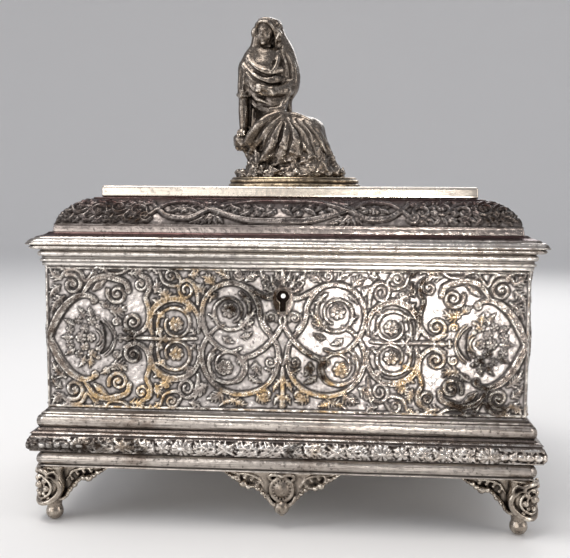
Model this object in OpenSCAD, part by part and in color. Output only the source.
// Silver-plated jewellery casket: panelled box on four bracket feet, hinged cushion lid,
// seated figure as finial, box lock and velvet lining.
// Millimetres, +Z up, front towards -Y, origin under the middle of the box at foot level.

/* [Box] */
// Width over the body panels
body_w = 268.7; // [200:0.1:340]
// Depth over the body panels
body_d = 180; // [150:1:240]
// Thickness of the cast body panels
wall = 3; // [2.5:0.1:4]
// Thickness of the padded lining on the walls
lining_t = 8; // [8:0.5:10]
// Gap between the lid's underside and the body's rim
split_gap = 0.3; // [0.2:0.1:0.6]

/* [Levels above the table] */
// Top of the feet, where the foot rail starts
foot_z = 32.5; // [30:0.5:36]
// Top of the foot rail, where the garland band starts
rail_z = 42.5; // [40:0.5:46]
// Underside of the bottom plate
plate_z = 51; // [48:0.1:52]
// Top of the bottom plate, on which the body panels stand
panel_z = 55; // [54:0.1:60]
// Top of the stepped moulding round the body's base
step_z = 65.5; // [63:0.1:72]
// Underside of the moulding round the body's rim
rim_z = 147.5; // [130:0.1:148]
// Underside of the lid, the split line
split_z = 156.6; // [156:0.1:170]

/* [Lid] */
// Height of the lid's cornice
cornice_h = 9.4; // [8.5:0.1:12]
// Height of the cushion-shaped dome above the cornice
dome_h = 19.6; // [14:0.1:26]
// How far the dome runs in from its foot to the plateau
dome_run = 22; // [16:0.1:30]
// Thickness of the flat plateau slab
plateau_h = 6.8; // [4:0.1:9]
// Sheet thickness of the dome and plateau
shell_t = 2.4; // [1.6:0.1:3]

/* [Overhangs beyond the body panels] */
// Overhang of the garland band
garland_out = 10.8; // [8:0.1:13]
// Overhang of the foot rail
rail_out = 4.4; // [3:0.1:7]
// Overhang of the cornice's tip
cornice_out = 8; // [7.5:0.1:11]
// Overhang of the rim moulding
rim_out = 3; // [2.5:0.1:3.4]

/* [Figure] */
// Width of the oval plinth
plinth_w = 85; // [70:0.5:100]
// Depth of the oval plinth
plinth_d = 54; // [44:0.5:70]
// Height of the plinth
plinth_h = 6.2; // [4:0.1:8]
// Height of the seated figure above the plinth
figure_h = 101.4; // [90:0.2:130]

/* [Hinges] */
// Length of each hinge
hinge_w = 38; // [30:1:50]
// Distance of each hinge's middle from the box's middle
hinge_x = 82; // [60:1:95]
// Radius of the hinge knuckles
knuckle_r = 2.2; // [1.8:0.1:2.4]
// Radius of the hinge pins
hinge_pin_r = 1; // [0.8:0.1:1.2]
// Angle at which the lid is drawn
lid_angle = 0; // [0:1:100]

/* [Lock] */
// Width of the lock case
lock_w = 48; // [44:1:60]
// Height of the lock case
lock_h = 40; // [38:1:44]
// Distance of the key post below the split line
key_drop = 24.8; // [24.4:0.1:26]
// Radius of the key post
key_post_r = 1.25; // [1:0.05:1.6]
// Travel of the bolt
bolt_throw = 4; // [3:0.5:4]
// How far the bolt is drawn out of its rest place
bolt_out = 0; // [0:0.5:4]

/* [Feet] */
// Inset of each foot's ball from the body's corner
foot_in = 2.25; // [2:0.05:6]
// Radius of the ball under each foot
ball_r = 5.2; // [4:0.1:6.5]
// Length of the leaf brackets along the rail
bracket_l = 35; // [33:0.5:50]

/* [Hidden] */

hw = body_w / 2;
hd = body_d / 2;
reach = 60;                              // longer than any overhang, for the mitre wedges
silver = [0.74, 0.72, 0.70];
dark_silver = [0.52, 0.50, 0.48];
velvet = [0.35, 0.05, 0.10];

rim_top = split_z - split_gap;
cornice_top = split_z + cornice_h;
dome_top = cornice_top + dome_h;
plateau_top = dome_top + plateau_h;
plinth_top = plateau_top + plinth_h;
cornice_in = 10;                         // width of the cornice inside the body's face
step_out = 4.9;                          // overhang of the stepped moulding
base_in = 3;                             // same for the hollow base mouldings
dome_foot = 3.65;                        // inset of the dome's foot from the body's face
dome_end = dome_foot + dome_run;         // inset of the dome's top edge
arc_steps = 8;

hinge_y = hd + 6.1;
hinge_z = split_z - 2.9;
leaf_t = 1.5;
tongue_t = 2.4;
leaf_gap = 0.3;
knuckles = 5;
knuckle_w = hinge_w / knuckles;
leaf_drop = 15;                          // how far the body leaf reaches below the axis
screw_r = 1.1;
head_r = 2;

lock_y = -hd + wall;                     // the lock case lies against the front panel's back
lock_t = lining_t;
lock_skin = 0.8;
lock_z = rim_top - lock_h;
loop_x = [-9, 11];                       // middles of the strike's two loops
loop_t = 2.5;
loop_d = 5.2;
loop_drop = 11;
loop_mid = lock_y + lock_t / 2;
tine_d = 2.4;
guide_x = [-8, 8];
guide_r = 1.2;
key_z = split_z - key_drop;
bolt_low = key_z + 4.5;
guide_z = bolt_low + 4;
tine_z = split_z - 8.2;
tine_h = 3;
key_hole_r = 3.5;
key_slot_w = 3.4;
key_slot_drop = 8.5;
post_step = 0.25;                        // how much thinner the key post's tail is

foot_x = hw - foot_in;
foot_y = hd - foot_in;
boss_in = 14;                            // inset of the foot's screw boss from the body's corner
boss_r = 5;
foot_screw_r = 1.5;
stud_r = 2;

// ---- profiles: x is the distance outside the body's face, y is the height ----

function arc(cx, cy, rx, ry, from, to, steps = arc_steps) =
    [for (i = [0 : steps]) let (a = from + (to - from) * i / steps) [cx + rx * cos(a), cy + ry * sin(a)]];

function foot_rail_profile() = concat(
    [[-base_in, foot_z], [rail_out - 1.4, foot_z], [rail_out - 0.6, foot_z + 1.2]],
    arc(rail_out - 1.6, (foot_z + rail_z) / 2, 1.6, (rail_z - foot_z) / 2 - 1.6, -60, 60),
    [[rail_out - 0.6, rail_z - 1.2], [rail_out + 1, rail_z], [-base_in, rail_z]]
);

function garland_profile() = concat(
    [[-base_in, rail_z], [garland_out - 1.8, rail_z]],
    arc(garland_out - 3, (rail_z + plate_z) / 2, 3, (plate_z - rail_z) / 2 - 0.4, -60, 60),
    [[garland_out - 1.3, plate_z], [garland_out - 1.3, plate_z + 0.8]],
    [[step_out + 1, panel_z], [0, panel_z], [0, plate_z], [-base_in, plate_z]]
);

// Upright band with a bead under the hollow that leads in to the panel
function step_profile() = concat(
    [[0, panel_z], [step_out, panel_z], [step_out, panel_z + 1]],
    [[step_out - 0.5, panel_z + 1.6], [step_out - 0.5, step_z - 3.6]],
    arc(step_out - 1.1, step_z - 2.9, 0.9, 0.7, -60, 80, 4),
    arc(step_out - 0.8, step_z, 3.2, 2, 260, 190, 5),
    [[0.6, step_z], [0, step_z]]
);

function rim_profile() = concat(
    [[0, rim_z], [1, rim_z], [1, rim_z + 2.2]],
    arc(1.2, rim_z + 3.2, 0.9, 1, -80, 80, 5),
    [[1.3, rim_z + 4.8]],
    arc(rim_out - 2, rim_z + 6.9, 2, 1.7, -70, 60),
    [[rim_out - 0.8, rim_top], [0, rim_top]]
);

function cornice_profile() = concat(
    [[-cornice_in, split_z], [cornice_out - 3.8, split_z], [cornice_out - 2.2, split_z + 0.8]],
    arc(cornice_out - 1.5, split_z + 2.4, 1.5, 1.5, -80, 80, 6),
    [[cornice_out - 2, split_z + 4]],
    arc(cornice_out - 4.6, split_z + 5.4, 2.6, 1.5, -40, 70, 5),
    [[cornice_out - 5, cornice_top - 2.4], [cornice_out - 7, cornice_top - 1.4]],
    [[-dome_foot + 2, cornice_top], [-cornice_in, cornice_top]]
);

// Flattened quarter-oval side of the dome from its foot to its top edge, t inside its outer face
function dome_profile(t) = concat(
    [[-dome_foot - t, cornice_top - (t > 0 ? 1 : 0)]],
    [for (i = [t > 0 ? 0 : 1 : 12]) let (a = 90 * i / 12, rise = 0.85 * sin(a) + 0.15 * (1 - cos(a)))
        [-dome_foot - t - dome_run * (1 - cos(a)), cornice_top + (dome_h - t) * rise]]
);

// ---- mitred lengths of moulding ----

// One straight length with 45 degree mitres, on the side that faces -Y: half is the distance
// from the middle to that side's face, other the one to the faces that it runs between.
module mitred(points, half, other) {
    start = 20;                          // deeper than any moulding reaches in
    intersection() {
        translate([0, -half, 0])
            rotate([90, 0, -90])
                translate([0, 0, -other - reach])
                    linear_extrude(2 * (other + reach))
                        polygon(points);
        translate([0, 0, foot_z - 1])
            linear_extrude(plateau_top)
                polygon([
                    [-other + start, -half + start],
                    [other - start, -half + start],
                    [other + reach, -half - reach],
                    [-other - reach, -half - reach]
                ]);
    }
}

module front_length(points) mitred(points, hd, hw);
module back_length(points) rotate(180) mitred(points, hd, hw);
module left_length(points) rotate(-90) mitred(points, hw, hd);
module right_length(points) rotate(90) mitred(points, hw, hd);

// ---- body ----

module keyhole(depth) {
    rotate([90, 0, 0]) {
        cylinder(r = key_hole_r, h = depth, $fn = 48);
        translate([-key_slot_w / 2, -key_slot_drop, 0])
            cube([key_slot_w, key_slot_drop, depth]);
    }
}

module lock_screw_places() {
    for (x = [-1, 1], z = [lock_z + 5, rim_top - 5])
        translate([x * (lock_w / 2 - 3), lock_y, z])
            children();
}

module front_panel() {
    color(silver)
        difference() {
            translate([-hw, -hd, panel_z])
                cube([body_w, wall, rim_top - panel_z]);
            translate([0, -hd + wall + 1, key_z])
                keyhole(wall + 2);
            lock_screw_places()
                rotate([90, 0, 0])
                    cylinder(r = 0.8, h = 2, $fn = 24);
        }
}

module back_panel() {
    color(silver)
        difference() {
            translate([-hw, hd - wall, panel_z])
                cube([body_w, wall, rim_top - panel_z]);
            body_hinge_screw_places()
                rotate([90, 0, 0])
                    cylinder(r = screw_r, h = 2.4, $fn = 24);
        }
}

module side_panel(side) {
    color(silver)
        translate([side * (hw - wall / 2) - wall / 2, -hd + wall, panel_z])
            cube([wall, body_d - 2 * wall, rim_top - panel_z]);
}

module left_panel() side_panel(-1);
module right_panel() side_panel(1);

module boss_places() {
    for (x = [-1, 1], y = [-1, 1])
        translate([x * (hw - boss_in), y * (hd - boss_in), 0])
            children();
}

module bottom_plate() {
    color(dark_silver)
        difference() {
            translate([-hw, -hd, plate_z])
                cube([body_w, body_d, panel_z - plate_z]);
            boss_places()
                translate([0, 0, plate_z - 1])
                    cylinder(r = foot_screw_r + 0.1, h = panel_z - plate_z + 2, $fn = 32);
        }
}

module foot_rail_front() color(silver) front_length(foot_rail_profile());
module foot_rail_back() color(silver) back_length(foot_rail_profile());
module foot_rail_left() color(silver) left_length(foot_rail_profile());
module foot_rail_right() color(silver) right_length(foot_rail_profile());

module garland_front() color(silver) front_length(garland_profile());
module garland_back() color(silver) back_length(garland_profile());
module garland_left() color(silver) left_length(garland_profile());
module garland_right() color(silver) right_length(garland_profile());

module step_moulding_front() color(silver) front_length(step_profile());
module step_moulding_back() color(silver) back_length(step_profile());
module step_moulding_left() color(silver) left_length(step_profile());
module step_moulding_right() color(silver) right_length(step_profile());

module rim_moulding_front() color(silver) front_length(rim_profile());
module rim_moulding_left() color(silver) left_length(rim_profile());
module rim_moulding_right() color(silver) right_length(rim_profile());

// The back length is notched where the two hinges pass through it
module rim_moulding_back() {
    color(silver)
        difference() {
            back_length(rim_profile());
            for (x = [-hinge_x, hinge_x])
                translate([x - hinge_w / 2 - 0.2, hd, rim_z - 1])
                    cube([hinge_w + 0.4, rim_out + 2, rim_top - rim_z + 2]);
        }
}

// ---- feet and aprons ----

// Leaf bracket in its own plane: x runs along the rail from the corner, y is the height
module bracket_outline() {
    polygon(concat(
        [[0, 12], [5, 10]],
        arc(17, foot_z - 14, 9, 10.5, 200, 100, 6),
        arc(24, foot_z - 4, 4.5, 4, 210, 340, 6),
        [[bracket_l - 5, foot_z - 2.5], [bracket_l, foot_z - 1.2], [bracket_l, foot_z], [0, foot_z]]
    ));
}

module foot() {
    bracket_t = 4;
    leg_r = 7.6;
    leg_z = 21;
    leg_out = 1;                         // how far the leg leans out over the ball
    translate([0, 0, ball_r * 0.9])
        intersection() {
            sphere(r = ball_r, $fn = 48);
            translate([-ball_r, -ball_r, -ball_r * 0.9])
                cube([2 * ball_r, 2 * ball_r, 2 * ball_r]);
        }
    // scrolled leg from the ball up to the corner of the rail
    hull() {
        translate([0, 0, 9.5]) sphere(r = 4, $fn = 24);
        translate([-leg_out, -leg_out, leg_z]) sphere(r = leg_r, $fn = 32);
    }
    hull() {
        translate([-leg_out, -leg_out, leg_z]) sphere(r = leg_r, $fn = 32);
        translate([-leg_out, -leg_out, foot_z - 1]) cylinder(r = leg_r - 1, h = 1, $fn = 32);
    }
    translate([-foot_in, -foot_in + bracket_t, 0])
        rotate([90, 0, 0])
            linear_extrude(bracket_t)
                bracket_outline();
    translate([-foot_in + bracket_t, -foot_in, 0])
        rotate([90, 0, 90])
            translate([0, 0, -bracket_t])
                linear_extrude(bracket_t)
                    bracket_outline();
    // flange under the rail, and the boss that takes the screw
    translate([-foot_in, -foot_in, foot_z - 2])
        cube([boss_in + boss_r, boss_in + boss_r, 2]);
    difference() {
        translate([boss_in - foot_in, boss_in - foot_in, foot_z - 2])
            cylinder(r = boss_r, h = plate_z - foot_z + 2, $fn = 48);
        translate([boss_in - foot_in, boss_in - foot_in, plate_z - 8])
            cylinder(r = foot_screw_r, h = 9, $fn = 32);
    }
}

module placed_foot(x, y) {
    color(silver)
        translate([x * foot_x, y * foot_y, 0])
            mirror([x > 0 ? 1 : 0, 0, 0])
                mirror([0, y > 0 ? 1 : 0, 0])
                    foot();
}

module foot_front_left() placed_foot(-1, -1);
module foot_front_right() placed_foot(1, -1);
module foot_rear_left() placed_foot(-1, 1);
module foot_rear_right() placed_foot(1, 1);

module foot_screws() {
    color("goldenrod")
        boss_places() {
            translate([0, 0, plate_z - 7.8])
                cylinder(r = foot_screw_r, h = panel_z - plate_z + 7.8, $fn = 32);
            difference() {
                translate([0, 0, panel_z])
                    cylinder(r = 2.8, h = 1.4, $fn = 32);
                translate([-3, -0.4, panel_z + 0.7])
                    cube([6, 0.8, 1]);
            }
        }
}

module apron_outline() {
    half = concat(
        [[0, 10], [6, 12]],
        arc(15.5, foot_z - 12, 8, 8.5, 190, 95, 6),
        arc(21.5, foot_z - 4, 4.5, 3.8, 200, 330, 5),
        [[28, foot_z - 2.6], [33.5, foot_z - 1], [33.5, foot_z]]
    );
    polygon(concat(half, [for (i = [len(half) - 1 : -1 : 1]) [-half[i][0], half[i][1]]]));
}

// Pendant drop between two leafy arches, with an oval boss and a ball at its foot
module apron() {
    drop_r = 4.7;
    boss_half = [6.4, 8];
    color(silver) {
        translate([0, -hd + 2, 0])
            rotate([90, 0, 0])
                linear_extrude(3)
                    apron_outline();
        translate([0, -hd - 0.6, 13.4])
            sphere(r = drop_r, $fn = 48);
        translate([0, -hd, foot_z - 2.9 - boss_half[1]])
            rotate([90, 0, 0])
                linear_extrude(4)
                    polygon([for (a = [0 : 10 : 350]) [boss_half[0] * cos(a), boss_half[1] * sin(a)]]);
        translate([-20, -hd + 1, foot_z - 2])
            cube([40, 9, 2]);
    }
}

module apron_front() apron();
module apron_back() mirror([0, 1, 0]) apron();

module escutcheon() {
    rise = 0.9;
    color(silver)
        difference() {
            translate([0, -hd, key_z])
                rotate([90, 0, 0]) {
                    cylinder(r = key_hole_r + 1.6, h = rise, $fn = 48);
                    translate([-key_slot_w / 2 - 1.3, -key_slot_drop - 1.4, 0])
                        cube([key_slot_w + 2.6, key_slot_drop, rise]);
                }
            translate([0, -hd + 1, key_z])
                keyhole(rise + 2);
        }
}

// ---- lock ----

module lock_case() {
    color("goldenrod")
        difference() {
            translate([-lock_w / 2, lock_y, lock_z])
                cube([lock_w, lock_t - lock_skin, lock_h]);
            translate([-lock_w / 2 + 5.5, lock_y + lock_skin, lock_z + lock_skin])
                cube([lock_w - 11, lock_t, lock_h - 2.2 - lock_skin]);
            // slots for the strike's loops
            for (x = loop_x)
                translate([x - loop_t / 2 - 0.5, lock_y + lock_skin, rim_top - 4])
                    cube([loop_t + 1, lock_t, 5]);
            translate([0, lock_y + lock_skin + 1, key_z])
                keyhole(lock_skin + 2);
            lock_screw_places()
                rotate([-90, 0, 0])
                    translate([0, 0, -1])
                        cylinder(r = 1, h = lock_t + 2, $fn = 24);
        }
    color("goldenrod")
        for (x = guide_x)
            translate([x, lock_y + lock_skin, guide_z])
                rotate([-90, 0, 0])
                    cylinder(r = guide_r, h = lock_t - 2 * lock_skin, $fn = 32);
}

module lock_cover() {
    color("goldenrod")
        difference() {
            translate([-lock_w / 2, lock_y + lock_t - lock_skin, lock_z])
                cube([lock_w, lock_skin, lock_h]);
            lock_screw_places()
                rotate([-90, 0, 0])
                    translate([0, 0, -1])
                        cylinder(r = 1, h = lock_t + 2, $fn = 24);
            translate([0, lock_y + lock_t + 1, key_z])
                rotate([90, 0, 0])
                    cylinder(r = key_post_r - post_step, h = 3, $fn = 48);
        }
}

// Hollow key drops over this post, whose thinner tail is riveted in the cover
module key_post() {
    tail = 1.3;
    color("silver")
        translate([0, lock_y + lock_t, key_z])
            rotate([90, 0, 0]) {
                cylinder(r = key_post_r - post_step, h = tail, $fn = 48);
                translate([0, 0, tail])
                    cylinder(r = key_post_r, h = lock_t + 1.6 - tail, $fn = 48);
            }
}

module lock_bolt() {
    tine_l = 5.6;
    post_w = 2;
    loop_gap = 0.8;
    tine_x = [for (x = loop_x) x - loop_t / 2 - loop_gap - tine_l];
    bolt_l = 30;
    bolt_h = 8;
    color("goldenrod")
        translate([bolt_out, loop_mid - tine_d / 2, 0]) {
            difference() {
                translate([tine_x[0], 0, bolt_low])
                    cube([bolt_l, tine_d, bolt_h]);
                for (x = guide_x)
                    translate([x, -1, guide_z]) {
                        for (end = [0, -bolt_throw - 0.2])
                            translate([end, 0, 0])
                                rotate([-90, 0, 0])
                                    cylinder(r = guide_r + 0.1, h = tine_d + 2, $fn = 32);
                        translate([-bolt_throw - 0.2, 0, -guide_r - 0.1])
                            cube([bolt_throw + 0.2, tine_d + 2, 2 * guide_r + 0.2]);
                    }
                // talon that the key's bit pushes on
                translate([-2.5, -1, bolt_low - 1])
                    cube([5, tine_d + 2, 3]);
            }
            for (x = tine_x) {
                translate([x, 0, bolt_low + bolt_h - 1])
                    cube([post_w, tine_d, tine_z + tine_h / 2 - bolt_low - bolt_h + 1]);
                translate([x, 0, tine_z - tine_h / 2])
                    cube([tine_l, tine_d, tine_h]);
            }
        }
}

// Flat spring lying over the bolt's end, fixed to the case's end wall
module lock_spring() {
    spring_t = 0.4;
    spring_l = 6;
    spring_h = 5;
    color("slategray")
        translate([lock_w / 2 - 5.5, loop_mid - 1, bolt_low + 8.4]) {
            translate([-spring_l, 0, 0])
                cube([spring_l, 2, spring_t]);
            translate([-spring_t, 0, 0])
                cube([spring_t, 2, spring_h]);
        }
}

module lock_screws() {
    color("goldenrod")
        lock_screw_places() {
            rotate([90, 0, 0])
                cylinder(r = 0.8, h = 1.8, $fn = 24);
            rotate([-90, 0, 0])
                cylinder(r = 0.8, h = lock_t, $fn = 24);
            difference() {
                translate([0, lock_t, 0])
                    rotate([-90, 0, 0])
                        cylinder(r = 1.7, h = 0.8, $fn = 24);
                translate([-2, lock_t + 0.4, -0.25])
                    cube([4, 1, 0.5]);
            }
        }
}

// ---- lining ----

inner_x = hw - wall;
inner_y = hd - wall;
lining_top = rim_top - 0.5;
lining_z = panel_z + 6;

module floor_lining() {
    color(velvet)
        difference() {
            translate([-inner_x, -inner_y, panel_z])
                cube([2 * inner_x, 2 * inner_y, lining_z - panel_z]);
            boss_places()
                translate([0, 0, panel_z - 1])
                    cylinder(r = 3, h = 3, $fn = 32);
        }
}

// The front lining is cut out round the lock
module front_lining() {
    color(velvet)
        difference() {
            translate([-inner_x, -inner_y, lining_z])
                cube([2 * inner_x, lining_t, lining_top - lining_z]);
            translate([-lock_w / 2 - 0.3, -inner_y - 1, lock_z - 0.3])
                cube([lock_w + 0.6, lining_t + 2, lock_h + 5]);
        }
}

module back_lining() {
    color(velvet)
        translate([-inner_x, inner_y - lining_t, lining_z])
            cube([2 * inner_x, lining_t, lining_top - lining_z]);
}

module side_lining(side) {
    color(velvet)
        translate([side * (inner_x - lining_t / 2) - lining_t / 2, -inner_y + lining_t, lining_z])
            cube([lining_t, 2 * (inner_y - lining_t), lining_top - lining_z]);
}

module left_lining() side_lining(-1);
module right_lining() side_lining(1);

// ---- hinges ----

module hinge_places() {
    for (x = [-hinge_x, hinge_x])
        translate([x, hinge_y, hinge_z])
            children();
}

// Barrels of one leaf: first is 0 for the body's three and 1 for the lid's two
module barrels(first) {
    for (i = [first : 2 : knuckles - 1])
        translate([-hinge_w / 2 + i * knuckle_w + leaf_gap / 2, 0, 0])
            rotate([0, 90, 0])
                cylinder(r = knuckle_r, h = knuckle_w - leaf_gap, $fn = 48);
}

module body_hinge_screw_places() {
    for (x = [-hinge_x, hinge_x], i = [-1 : 1])
        translate([x + i * hinge_w / 3, hd, hinge_z - leaf_drop + 2.8])
            children();
}

module body_hinge_leaves() {
    color("goldenrod")
        difference() {
            hinge_places()
                difference() {
                    union() {
                        barrels(0);
                        for (i = [0 : 2 : knuckles - 1])
                            translate([-hinge_w / 2 + i * knuckle_w + leaf_gap / 2, hd - hinge_y, -tongue_t / 2])
                                cube([knuckle_w - leaf_gap, hinge_y - hd, tongue_t]);
                        translate([-hinge_w / 2, hd - hinge_y, -leaf_drop])
                            cube([hinge_w, leaf_t, leaf_drop + tongue_t / 2]);
                    }
                    translate([-hinge_w, 0, 0])
                        rotate([0, 90, 0])
                            cylinder(r = hinge_pin_r, h = 2 * hinge_w, $fn = 48);
                }
            body_hinge_screw_places()
                rotate([-90, 0, 0])
                    cylinder(r = screw_r, h = leaf_t + 1, $fn = 24);
        }
}

module body_hinge_screws() {
    color("goldenrod")
        body_hinge_screw_places() {
            translate([0, -2.2, 0])
                rotate([-90, 0, 0])
                    cylinder(r = screw_r, h = 2.2 + leaf_t, $fn = 24);
            difference() {
                translate([0, leaf_t, 0])
                    rotate([-90, 0, 0])
                        cylinder(r = head_r, h = 0.9, $fn = 32);
                translate([-3, leaf_t + 0.5, -0.3])
                    cube([6, 1, 0.6]);
            }
        }
}

module hinge_pins() {
    color("silver")
        hinge_places()
            translate([-hinge_w / 2, 0, 0])
                rotate([0, 90, 0])
                    cylinder(r = hinge_pin_r, h = hinge_w, $fn = 48);
}

// ---- lid: everything below turns about the hinge axis ----

module on_lid() {
    translate([0, hinge_y, hinge_z])
        rotate([-lid_angle, 0, 0])
            translate([0, -hinge_y, -hinge_z])
                children();
}

lid_leaf_y = hd - cornice_in + 3;

module lid_hinge_screw_places() {
    for (x = [-hinge_x, hinge_x], i = [-1 : 1])
        translate([x + i * hinge_w / 3, lid_leaf_y + 3.2, split_z])
            children();
}

module lid_hinge_leaves() {
    link_t = 2.4;
    color("goldenrod") on_lid()
        difference() {
            union() {
                hinge_places()
                    difference() {
                        union() {
                            barrels(1);
                            for (i = [1 : 2 : knuckles - 1])
                                translate([-hinge_w / 2 + i * knuckle_w + leaf_gap / 2, -link_t / 2, 0])
                                    cube([knuckle_w - leaf_gap, link_t, split_z + leaf_t - hinge_z]);
                        }
                        translate([-hinge_w, 0, 0])
                            rotate([0, 90, 0])
                                cylinder(r = hinge_pin_r + 0.05, h = 2 * hinge_w, $fn = 48);
                    }
                for (x = [-hinge_x, hinge_x])
                    translate([x - hinge_w / 2, lid_leaf_y, split_z])
                        cube([hinge_w, hinge_y + link_t / 2 - lid_leaf_y, leaf_t]);
            }
            lid_hinge_screw_places()
                translate([0, 0, -1])
                    cylinder(r = screw_r, h = leaf_t + 2, $fn = 24);
        }
}

module lid_hinge_screws() {
    color("goldenrod") on_lid()
        lid_hinge_screw_places()
            cylinder(r = screw_r, h = leaf_t + 3, $fn = 24);
}

module cornice_front() {
    color(silver) on_lid()
        difference() {
            front_length(cornice_profile());
            translate([-strike_w / 2, strike_y, split_z - 1])
                cube([strike_w, strike_d, strike_t + 1]);
            strike_screw_places()
                cylinder(r = 0.9, h = strike_t + 2.6, $fn = 24);
        }
}

module cornice_back() {
    color(silver) on_lid()
        difference() {
            back_length(cornice_profile());
            for (x = [-hinge_x, hinge_x])
                translate([x - hinge_w / 2, lid_leaf_y, split_z - 1])
                    cube([hinge_w, hinge_y + 1.2 - lid_leaf_y, leaf_t + 1]);
            lid_hinge_screw_places()
                cylinder(r = screw_r, h = leaf_t + 3.2, $fn = 24);
        }
}

module cornice_left() color(silver) on_lid() left_length(cornice_profile());
module cornice_right() color(silver) on_lid() right_length(cornice_profile());

// Block whose four sides all follow the dome's curve, t inside its outer face
module dome_block(t) {
    side = dome_profile(t);
    intersection() {
        rotate([90, 0, 90])
            translate([0, 0, -hw])
                linear_extrude(body_w)
                    dome_section(side, hd);
        rotate([90, 0, 0])
            translate([0, 0, -hd])
                linear_extrude(body_d)
                    dome_section(side, hw);
    }
}

module dome_section(side, half) {
    polygon(concat(
        [for (p = side) [half + p[0], p[1]]],
        [for (i = [len(side) - 1 : -1 : 0]) [-half - side[i][0], side[i][1]]]
    ));
}

module lid_dome() {
    ledge = 8;                           // width of the flat rim that the plateau sits on
    color(silver) on_lid()
        difference() {
            dome_block(0);
            dome_block(shell_t);
            translate([-hw + dome_end + ledge, -hd + dome_end + ledge, dome_top - dome_h / 2])
                cube([body_w - 2 * (dome_end + ledge), body_d - 2 * (dome_end + ledge), dome_h]);
        }
}

plateau_w = body_w - 2 * dome_end;
plateau_d = body_d - 2 * dome_end;

module lid_plateau() {
    chamfer = 1.2;
    color(silver) on_lid()
        difference() {
            intersection() {
                rotate([90, 0, 90])
                    translate([0, 0, -plateau_w / 2])
                        linear_extrude(plateau_w)
                            plateau_section(plateau_d, chamfer);
                rotate([90, 0, 0])
                    translate([0, 0, -plateau_d / 2])
                        linear_extrude(plateau_d)
                            plateau_section(plateau_w, chamfer);
            }
            translate([-plateau_w / 2 + 8, -plateau_d / 2 + 8, dome_top - 1])
                cube([plateau_w - 16, plateau_d - 16, plateau_h - shell_t + 1]);
            translate([0, 0, dome_top])
                cylinder(r = stud_r + 0.15, h = plateau_h + 1, $fn = 32);
        }
}

module plateau_section(width, chamfer) {
    polygon([
        [-width / 2, dome_top], [width / 2, dome_top],
        [width / 2, plateau_top - chamfer], [width / 2 - chamfer, plateau_top],
        [-width / 2 + chamfer, plateau_top], [-width / 2, plateau_top - chamfer]
    ]);
}

board_z = split_z + 3;

// Thin board that closes the lid's underside and carries its pad
module lid_board() {
    color("saddlebrown") on_lid()
        translate([-hw + cornice_in, -hd + cornice_in, board_z])
            cube([body_w - 2 * cornice_in, body_d - 2 * cornice_in, 2]);
}

module lid_lining() {
    pad_in = cornice_in + 4;
    color(velvet) on_lid()
        translate([-hw + pad_in, -hd + pad_in, split_z - 3])
            cube([body_w - 2 * pad_in, body_d - 2 * pad_in, board_z - split_z + 3]);
}

strike_w = 40;
strike_t = 1.4;
strike_d = 6.6;
strike_y = loop_mid - 3.6;

module strike_screw_places() {
    for (x = [-16.5, 1, 17.5])
        translate([x, loop_mid, split_z])
            children();
}

// Plate let into the lid's underside, with two loops that drop into the lock
module lock_strike() {
    color("goldenrod") on_lid() {
        difference() {
            translate([-strike_w / 2, strike_y, split_z])
                cube([strike_w, strike_d, strike_t]);
            strike_screw_places()
                translate([0, 0, -1])
                    cylinder(r = 0.9, h = strike_t + 2, $fn = 24);
        }
        for (x = loop_x)
            difference() {
                translate([x - loop_t / 2, loop_mid - loop_d / 2, split_z - loop_drop])
                    cube([loop_t, loop_d, loop_drop]);
                translate([x - loop_t, loop_mid - tine_d / 2 - 0.4, tine_z - tine_h / 2 - 0.5])
                    cube([2 * loop_t, tine_d + 0.8, tine_h + 1]);
            }
    }
}

module strike_screws() {
    color("goldenrod") on_lid()
        strike_screw_places()
            cylinder(r = 0.9, h = strike_t + 2.4, $fn = 24);
}

// ---- finial ----

module figure_plinth() {
    color(dark_silver) on_lid()
        difference() {
            translate([0, 0, plateau_top])
                linear_extrude(plinth_h)
                    polygon([for (a = [0 : 7.5 : 352.5]) [plinth_w / 2 * cos(a), plinth_d / 2 * sin(a)]]);
            translate([0, 0, plateau_top - 1])
                cylinder(r = stud_r + 0.15, h = plinth_h + 2, $fn = 32);
        }
}

module ball(p, r) translate(p) sphere(r = r, $fn = 24);

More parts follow.
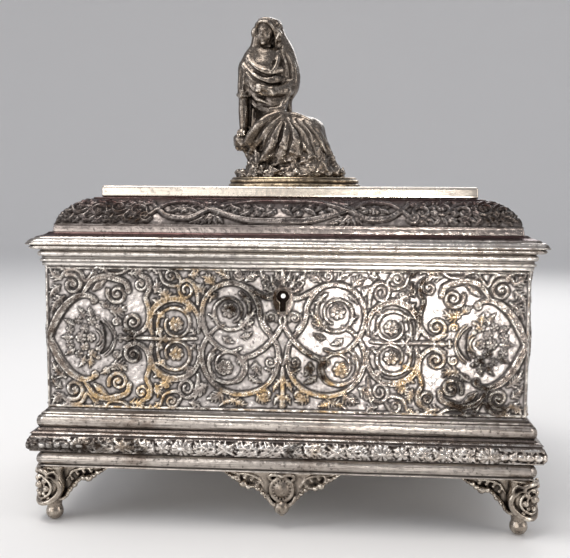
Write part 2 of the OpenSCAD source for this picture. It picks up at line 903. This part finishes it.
// Seated draped woman on a rock: her back is towards -X and her knees towards +X.
// Points are drawn for a figure 106 high.
module figure() {
    k = figure_h / 106;
    hip = [-14, 2, 29];
    waist = [-17, 2, 46];
    knee = [13, -8, 27];
    right_shoulder = [-29, 1, 66];
    left_shoulder = [-6, 3, 65];
    left_elbow = [-1, -3, 57];
    head = [-19, -2, 95.6];
    color(dark_silver) on_lid()
        translate([0, 0, plinth_top])
            scale(k)
                difference() {
                    union() {
                        // rock and the skirts that fall over it
                        hull() {
                            translate([-14, 0, 0]) cylinder(r = 22, h = 1, $fn = 32);
                            translate([14, 0, 0]) cylinder(r = 20, h = 1, $fn = 32);
                            ball([-27, 0, 21], 9);
                            ball([12, -3, 20], 11);
                        }
                        // lap, from the hips to the knees
                        hull() {
                            ball(hip, 13.5);
                            ball(knee, 9.5);
                            ball(knee + [2, 10, 0], 9.5);
                        }
                        // back, chest and shoulders under the shawl
                        hull() {
                            ball(hip + [0, 0, 4], 11.5);
                            ball(right_shoulder, 8.5);
                            ball(left_shoulder, 8.5);
                        }
                        // right arm propped on the rock, against her side
                        hull() {
                            ball(right_shoulder + [-3, 0, -6], 5.5);
                            ball([-34, -2, 27], 5);
                            ball(hip + [-6, 0, 0], 6);
                        }
                        // left arm folded across the waist
                        hull() {
                            ball(left_elbow, 4.6);
                            ball([-19, -11, 54], 3.8);
                            ball(waist, 8);
                        }
                        ball(head, 10.4);
                        // neck and the veil down the back
                        hull() {
                            ball(head + [4, 4, -3], 7);
                            ball([-4, 7, 66], 7);
                            ball([-20, 1, 66], 6);
                            ball(head + [-4, 0, -4], 6);
                        }
                    }
                    translate([0, 0, -1])
                        cylinder(r = (stud_r + 0.15) / k, h = 15, $fn = 32);
                }
}

module figure_stud() {
    color("silver") on_lid()
        translate([0, 0, dome_top - 4])
            cylinder(r = stud_r, h = plinth_top + 12 - dome_top + 4, $fn = 32);
}

module figure_nut() {
    color("goldenrod") on_lid()
        translate([0, 0, plateau_top - shell_t - 3])
            difference() {
                cylinder(r = 4.4, h = 3, $fn = 6);
                translate([0, 0, -1])
                    cylinder(r = stud_r, h = 5, $fn = 32);
            }
}

front_panel();
back_panel();
left_panel();
right_panel();
bottom_plate();
foot_rail_front();
foot_rail_back();
foot_rail_left();
foot_rail_right();
garland_front();
garland_back();
garland_left();
garland_right();
step_moulding_front();
step_moulding_back();
step_moulding_left();
step_moulding_right();
rim_moulding_front();
rim_moulding_back();
rim_moulding_left();
rim_moulding_right();
foot_front_left();
foot_front_right();
foot_rear_left();
foot_rear_right();
foot_screws();
apron_front();
apron_back();
escutcheon();
lock_case();
lock_cover();
lock_bolt();
lock_spring();
lock_screws();
key_post();
floor_lining();
front_lining();
back_lining();
left_lining();
right_lining();
body_hinge_leaves();
body_hinge_screws();
hinge_pins();
cornice_front();
cornice_back();
cornice_left();
cornice_right();
lid_dome();
lid_plateau();
lid_board();
lid_lining();
lid_hinge_leaves();
lid_hinge_screws();
lock_strike();
strike_screws();
figure_plinth();
figure();
figure_stud();
figure_nut();
